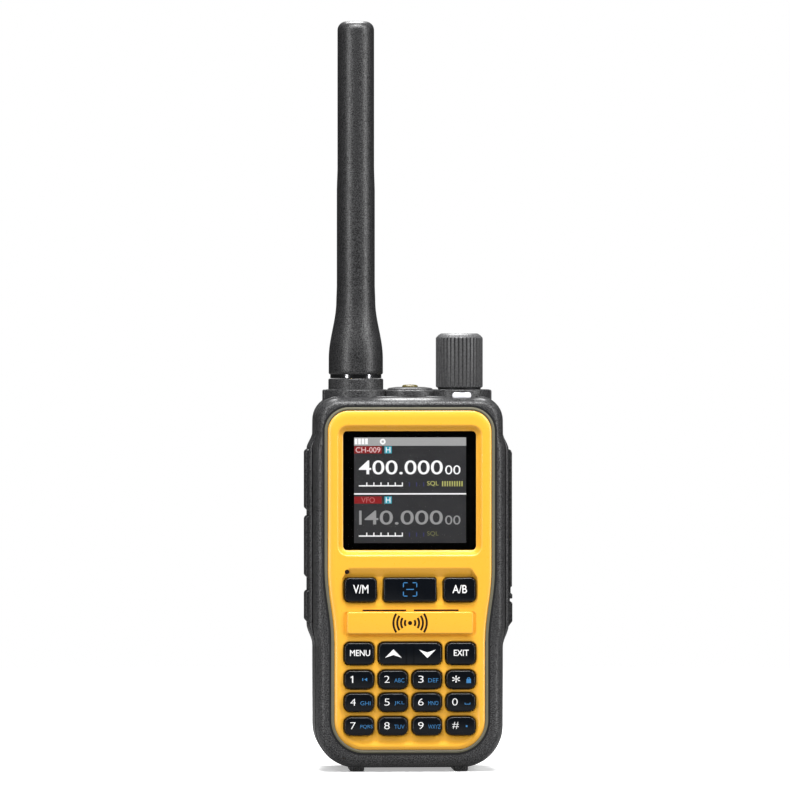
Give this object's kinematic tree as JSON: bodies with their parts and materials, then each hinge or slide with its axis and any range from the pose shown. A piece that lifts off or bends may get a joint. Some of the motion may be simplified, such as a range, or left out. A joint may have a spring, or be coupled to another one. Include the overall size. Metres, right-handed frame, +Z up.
{
  "type": "two way radio",
  "caption": "Handheld two way radio with a colour screen, a keypad in a bright panel, side keys, a jack flap, a ribbed volume knob, a screw-on stub antenna and a slide-off battery.",
  "frame": {"origin": "centre of the footprint, on the floor under the feet", "axes": "+Z up along the antenna, -Y is the keypad side, +X is the jack flap side"},
  "size_m": [0.06, 0.0372, 0.2166],
  "materials": {
    "case": "fine textured black",
    "yellow": "satin yellow",
    "seal": "soft grey",
    "rubber": "matt black",
    "window": "clear over black",
    "mask": "black print",
    "screen": "display module",
    "key": "polished black",
    "side_key": "satin black",
    "knob": "ribbed dark grey",
    "antenna": "fine textured black",
    "steel": "plain",
    "chromed": "polished",
    "gold": "gold plated",
    "copper": "copper wire",
    "board": "circuit board",
    "silicone": "silicone",
    "dark": "plain dark",
    "speaker": "cone and frame",
    "lens": "milky clear",
    "torch": "phosphor yellow",
    "cell": "film wrap"
  },
  "bodies": {
    "radio": {"front_case": "case", "case_seal": "rubber", "rear_chassis": "case", "front_panel": "yellow", "panel_seal": "seal", "display_window": "window", "display_mask": "mask", "display_module": "screen", "sound_plate": "yellow", "speaker": "speaker", "microphone": "steel", "main_board": "board", "screening_can": "steel", "keypad_mat": "silicone", "chassis_screws": "steel", "antenna_collar": "case", "antenna_socket": "gold", "torch_bezel": "case", "torch_lens": "torch", "status_lens": "lens", "volume_control": "steel", "jack_block": "dark", "flap_anchor": "rubber", "battery_terminals": "gold", "side_switches": "board"},
    "key_vm": {"key_vm": "key"},
    "key_scan": {"key_scan": "key"},
    "key_ab": {"key_ab": "key"},
    "key_menu": {"key_menu": "key"},
    "key_exit": {"key_exit": "key"},
    "key_1": {"key_1": "key"},
    "key_2": {"key_2": "key"},
    "key_3": {"key_3": "key"},
    "key_star": {"key_star": "key"},
    "key_4": {"key_4": "key"},
    "key_5": {"key_5": "key"},
    "key_6": {"key_6": "key"},
    "key_0": {"key_0": "key"},
    "key_7": {"key_7": "key"},
    "key_8": {"key_8": "key"},
    "key_9": {"key_9": "key"},
    "key_hash": {"key_hash": "key"},
    "key_rocker": {"key_rocker": "key"},
    "side_key_upper": {"side_key_upper": "side_key"},
    "side_key_middle": {"side_key_middle": "side_key"},
    "side_key_lower": {"side_key_lower": "side_key"},
    "knob": {"volume_knob": "knob", "knob_shaft": "steel"},
    "antenna": {"antenna_sleeve": "antenna", "antenna_ferrule": "chromed", "antenna_radiator": "copper"},
    "flap": {"jack_flap": "rubber"},
    "battery": {"battery_shell": "case", "battery_cover": "case", "battery_cells": "cell", "battery_board": "board", "pack_contacts": "gold", "charge_contacts": "gold"},
    "latch": {"battery_latch": "side_key"}
  },
  "joints": [
    {"name": "press_vm", "type": "slide", "parent": "radio", "child": "key_vm", "axis": [0, 1, 0], "range_m": [0, 0.0006], "stiffness_N_per_m": 2500},
    {"name": "press_scan", "type": "slide", "parent": "radio", "child": "key_scan", "axis": [0, 1, 0], "range_m": [0, 0.0006], "stiffness_N_per_m": 2500},
    {"name": "press_ab", "type": "slide", "parent": "radio", "child": "key_ab", "axis": [0, 1, 0], "range_m": [0, 0.0006], "stiffness_N_per_m": 2500},
    {"name": "press_menu", "type": "slide", "parent": "radio", "child": "key_menu", "axis": [0, 1, 0], "range_m": [0, 0.0006], "stiffness_N_per_m": 2500},
    {"name": "press_exit", "type": "slide", "parent": "radio", "child": "key_exit", "axis": [0, 1, 0], "range_m": [0, 0.0006], "stiffness_N_per_m": 2500},
    {"name": "press_1", "type": "slide", "parent": "radio", "child": "key_1", "axis": [0, 1, 0], "range_m": [0, 0.0006], "stiffness_N_per_m": 2500},
    {"name": "press_2", "type": "slide", "parent": "radio", "child": "key_2", "axis": [0, 1, 0], "range_m": [0, 0.0006], "stiffness_N_per_m": 2500},
    {"name": "press_3", "type": "slide", "parent": "radio", "child": "key_3", "axis": [0, 1, 0], "range_m": [0, 0.0006], "stiffness_N_per_m": 2500},
    {"name": "press_star", "type": "slide", "parent": "radio", "child": "key_star", "axis": [0, 1, 0], "range_m": [0, 0.0006], "stiffness_N_per_m": 2500},
    {"name": "press_4", "type": "slide", "parent": "radio", "child": "key_4", "axis": [0, 1, 0], "range_m": [0, 0.0006], "stiffness_N_per_m": 2500},
    {"name": "press_5", "type": "slide", "parent": "radio", "child": "key_5", "axis": [0, 1, 0], "range_m": [0, 0.0006], "stiffness_N_per_m": 2500},
    {"name": "press_6", "type": "slide", "parent": "radio", "child": "key_6", "axis": [0, 1, 0], "range_m": [0, 0.0006], "stiffness_N_per_m": 2500},
    {"name": "press_0", "type": "slide", "parent": "radio", "child": "key_0", "axis": [0, 1, 0], "range_m": [0, 0.0006], "stiffness_N_per_m": 2500},
    {"name": "press_7", "type": "slide", "parent": "radio", "child": "key_7", "axis": [0, 1, 0], "range_m": [0, 0.0006], "stiffness_N_per_m": 2500},
    {"name": "press_8", "type": "slide", "parent": "radio", "child": "key_8", "axis": [0, 1, 0], "range_m": [0, 0.0006], "stiffness_N_per_m": 2500},
    {"name": "press_9", "type": "slide", "parent": "radio", "child": "key_9", "axis": [0, 1, 0], "range_m": [0, 0.0006], "stiffness_N_per_m": 2500},
    {"name": "press_hash", "type": "slide", "parent": "radio", "child": "key_hash", "axis": [0, 1, 0], "range_m": [0, 0.0006], "stiffness_N_per_m": 2500},
    {"name": "rocker_tilt", "type": "hinge", "parent": "radio", "child": "key_rocker", "pos_m": [0, -0.016, 0.03425], "axis": [0, 0, 1], "range_deg": [-2.5, 2.5], "stiffness_Nm_per_rad": 0.3},
    {"name": "side_press_upper", "type": "slide", "parent": "radio", "child": "side_key_upper", "axis": [1, 0, 0], "range_m": [0, 0.0008], "stiffness_N_per_m": 3000},
    {"name": "side_press_middle", "type": "slide", "parent": "radio", "child": "side_key_middle", "axis": [1, 0, 0], "range_m": [0, 0.0008], "stiffness_N_per_m": 3000},
    {"name": "side_press_lower", "type": "slide", "parent": "radio", "child": "side_key_lower", "axis": [1, 0, 0], "range_m": [0, 0.0008], "stiffness_N_per_m": 3000},
    {"name": "knob_turn", "type": "hinge", "parent": "radio", "child": "knob", "pos_m": [0.015, -0.005, 0.118], "axis": [0, 0, -1], "range_deg": [0, 290]},
    {"name": "antenna_screw", "type": "hinge", "parent": "radio", "child": "antenna", "pos_m": [-0.015, -0.005, 0.114], "axis": [0, 0, 1], "continuous": true},
    {"name": "flap_open", "type": "hinge", "parent": "radio", "child": "flap", "pos_m": [0.0293, -0.0063, 0.0523], "axis": [0, 1, 0], "range_deg": [0, 110]},
    {"name": "battery_slide", "type": "slide", "parent": "radio", "child": "battery", "axis": [0, 0, -1], "range_m": [0, 0.012]},
    {"name": "latch_slide", "type": "slide", "parent": "radio", "child": "latch", "axis": [0, 0, 1], "range_m": [0, 0.0016], "stiffness_N_per_m": 600}
  ]
}
